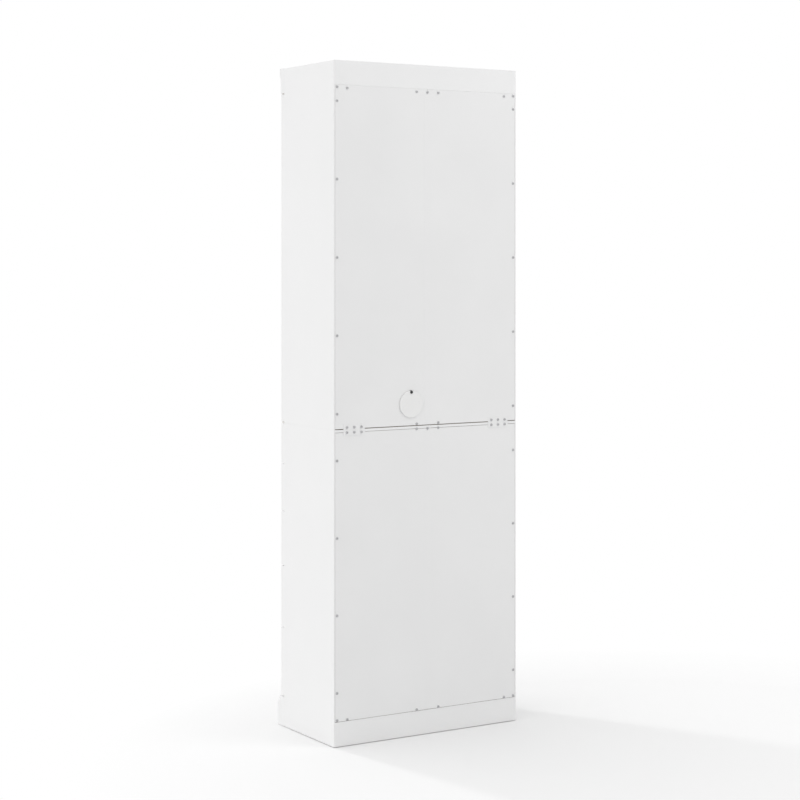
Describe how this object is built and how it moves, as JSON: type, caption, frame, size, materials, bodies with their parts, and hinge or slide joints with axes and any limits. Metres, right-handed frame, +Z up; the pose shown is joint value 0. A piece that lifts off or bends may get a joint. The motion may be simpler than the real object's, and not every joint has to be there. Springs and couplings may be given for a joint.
{
  "type": "jewelry armoire",
  "caption": "Tall narrow white storage cabinet for jewelry: two stacked sections, mirror doors above, drawers below, screwed-on back with a swivelling cable cover.",
  "frame": {"origin": "on the floor, under the centre of the armoire's bounding box, knobs and rear screw heads included", "axes": "+Z up, doors and drawers face -Y, +X to the right of someone facing the doors"},
  "size_m": [0.59, 0.3282, 1.829],
  "materials": {
    "painted_board": "white satin paint on board",
    "painted_hardboard": "white painted hardboard",
    "zinc_screw": "zinc plated",
    "white_plate": "white powder coat",
    "black_screw": "black oxide",
    "white_plastic": "moulded, fine grain",
    "nickel": "brushed nickel",
    "runner_wood": "waxed hardwood",
    "mirror": "silvered glass",
    "lined_backing": "grey velvet on board",
    "drawer_wood": "clear lacquered birch",
    "velvet": "grey velvet",
    "flocked_tray": "flocked, grey"
  },
  "bodies": {
    "case": {"lower_left_side": "painted_board", "lower_right_side": "painted_board", "upper_left_side": "painted_board", "upper_right_side": "painted_board", "lower_bottom_panel": "painted_board", "lower_top_panel": "painted_board", "upper_bottom_panel": "painted_board", "upper_top_panel": "painted_board", "rear_base_rail": "painted_board", "rear_crown_rail": "painted_board", "outer_top_panel": "painted_board", "lower_shelf": "painted_board", "upper_shelf": "painted_board", "shelf_pins": "nickel", "front_base_rail": "painted_board", "front_frieze": "painted_board", "plinth_moulding": "painted_board", "cornice_moulding": "painted_board", "floor_glides": "white_plastic", "lower_back_left_leaf": "painted_hardboard", "lower_back_right_leaf": "painted_hardboard", "upper_back_left_leaf": "painted_hardboard", "upper_back_right_leaf": "painted_hardboard", "back_screws": "zinc_screw", "joining_plates": "white_plate", "joining_plate_screws": "zinc_screw", "cover_pivot_screw": "black_screw", "door_pivot_brackets": "nickel", "magnetic_catches": "white_plastic", "necklace_bar": "painted_board", "drawer_runners": "runner_wood"},
    "cable_cover": {"cable_cover": "white_plastic"},
    "left_door": {"left_door_frame": "painted_board", "left_door_mirror": "mirror", "left_door_backing": "lined_backing", "left_door_knob": "nickel", "left_door_hook_rail": "painted_board"},
    "right_door": {"right_door_frame": "painted_board", "right_door_mirror": "mirror", "right_door_backing": "lined_backing", "right_door_knob": "nickel", "right_door_hook_rail": "painted_board"},
    "drawer_1": {"drawer_1_front": "painted_board", "drawer_1_box": "drawer_wood", "drawer_1_knobs": "nickel", "ring_roll_pad": "velvet"},
    "drawer_2": {"drawer_2_front": "painted_board", "drawer_2_box": "drawer_wood", "drawer_2_knobs": "nickel", "compartment_tray": "flocked_tray"},
    "drawer_3": {"drawer_3_front": "painted_board", "drawer_3_box": "drawer_wood", "drawer_3_knobs": "nickel"},
    "drawer_4": {"drawer_4_front": "painted_board", "drawer_4_box": "drawer_wood", "drawer_4_knobs": "nickel"},
    "drawer_5": {"drawer_5_front": "painted_board", "drawer_5_box": "drawer_wood", "drawer_5_knobs": "nickel"}
  },
  "joints": [
    {"name": "left_door_hinge", "type": "hinge", "parent": "case", "child": "left_door", "pos_m": [-0.2885, -0.13215, 1.30225], "axis": [0, 0, -1], "range_deg": [0, 110]},
    {"name": "right_door_hinge", "type": "hinge", "parent": "case", "child": "right_door", "pos_m": [0.2885, -0.13215, 1.30225], "axis": [0, 0, 1], "range_deg": [0, 110]},
    {"name": "drawer_1_slide", "type": "slide", "parent": "case", "child": "drawer_1", "axis": [0, -1, 0], "range_m": [0, 0.17]},
    {"name": "drawer_2_slide", "type": "slide", "parent": "case", "child": "drawer_2", "axis": [0, -1, 0], "range_m": [0, 0.17]},
    {"name": "drawer_3_slide", "type": "slide", "parent": "case", "child": "drawer_3", "axis": [0, -1, 0], "range_m": [0, 0.17]},
    {"name": "drawer_4_slide", "type": "slide", "parent": "case", "child": "drawer_4", "axis": [0, -1, 0], "range_m": [0, 0.17]},
    {"name": "drawer_5_slide", "type": "slide", "parent": "case", "child": "drawer_5", "axis": [0, -1, 0], "range_m": [0, 0.17]},
    {"name": "cable_cover_swivel", "type": "hinge", "parent": "case", "child": "cable_cover", "pos_m": [0.054, 0.16015, 0.9375], "axis": [0, 1, 0], "continuous": true}
  ]
}
